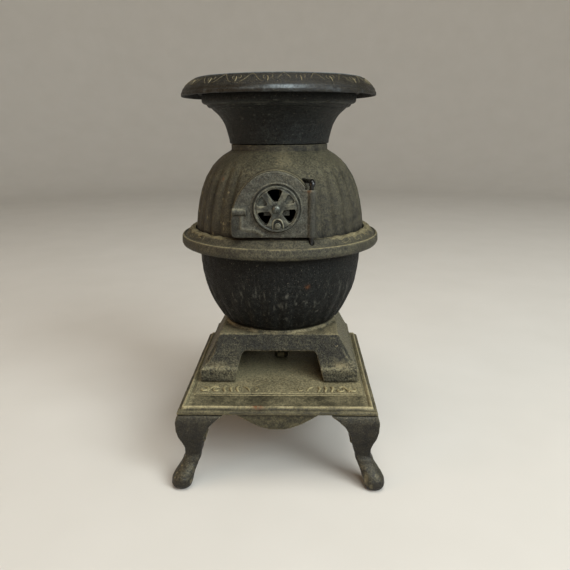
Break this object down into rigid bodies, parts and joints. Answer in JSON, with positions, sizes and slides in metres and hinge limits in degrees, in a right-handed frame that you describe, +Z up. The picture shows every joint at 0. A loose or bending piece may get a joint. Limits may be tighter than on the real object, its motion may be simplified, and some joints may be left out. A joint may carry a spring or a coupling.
{
  "type": "wood burning stove",
  "caption": "Miniature pot-belly wood stove in cast iron, with a fluted drum, hinged feed door, rotating draft wheel, lift-off lid and a moulded hearth plate on cabriole legs.",
  "frame": {"origin": "on the floor plane, under the centre of the stove's bounding box; the tie rod's axis stands 9.25 mm behind it", "axes": "+Z up, the feed door faces -Y, the door's hinge is on the +X side"},
  "size_m": [0.1094, 0.128, 0.2004],
  "materials": {
    "dusty_iron": "cast, olive-grey with settled dust and worn high edges",
    "black_iron": "cast, near black, matte to satin",
    "brim_iron": "cast, dark, relief lines worn pale",
    "base_iron": "coarse sand-cast, olive-grey, pale worn mouldings, a few rust spots",
    "door_iron": "cast, blue-grey, slightly polished by handling",
    "bolt_steel": "dull darkened steel",
    "wire_steel": "glossy black wire"
  },
  "bodies": {
    "stove_body": {"base_plate": "base_iron", "leg_front_left": "base_iron", "leg_front_right": "base_iron", "leg_rear_left": "base_iron", "leg_rear_right": "base_iron", "leg_screw_front_left": "bolt_steel", "leg_screw_front_right": "bolt_steel", "leg_screw_rear_left": "bolt_steel", "leg_screw_rear_right": "bolt_steel", "ash_stand": "base_iron", "fire_pot": "black_iron", "fire_grate": "black_iron", "skirt_ring": "dusty_iron", "drum": "dusty_iron", "flue_collar": "dusty_iron", "flue_screw_left": "bolt_steel", "flue_screw_right": "bolt_steel", "hinge_pin": "wire_steel", "top_collar": "black_iron", "top_brim": "brim_iron", "clamp_strap": "bolt_steel", "tie_rod": "bolt_steel", "bottom_washer": "bolt_steel", "bottom_nut": "bolt_steel", "plate_nut": "bolt_steel", "top_washer": "bolt_steel", "top_nut": "bolt_steel"},
    "door": {"feed_door": "door_iron", "draft_rivet": "bolt_steel", "draft_washer": "bolt_steel"},
    "draft": {"draft_wheel": "door_iron"},
    "lid": {"lid": "brim_iron"}
  },
  "joints": [
    {"name": "door_hinge", "type": "hinge", "parent": "stove_body", "child": "door", "pos_m": [0.0167, -0.03795, 0.136], "axis": [0, 0, 1], "range_deg": [0, 160]},
    {"name": "draft_spin", "type": "hinge", "parent": "door", "child": "draft", "pos_m": [0, -0.04075, 0.1386], "axis": [0, -1, 0], "continuous": true},
    {"name": "lid_lift", "type": "slide", "parent": "stove_body", "child": "lid", "axis": [0, 0, 1], "range_m": [0, 0.03]}
  ]
}
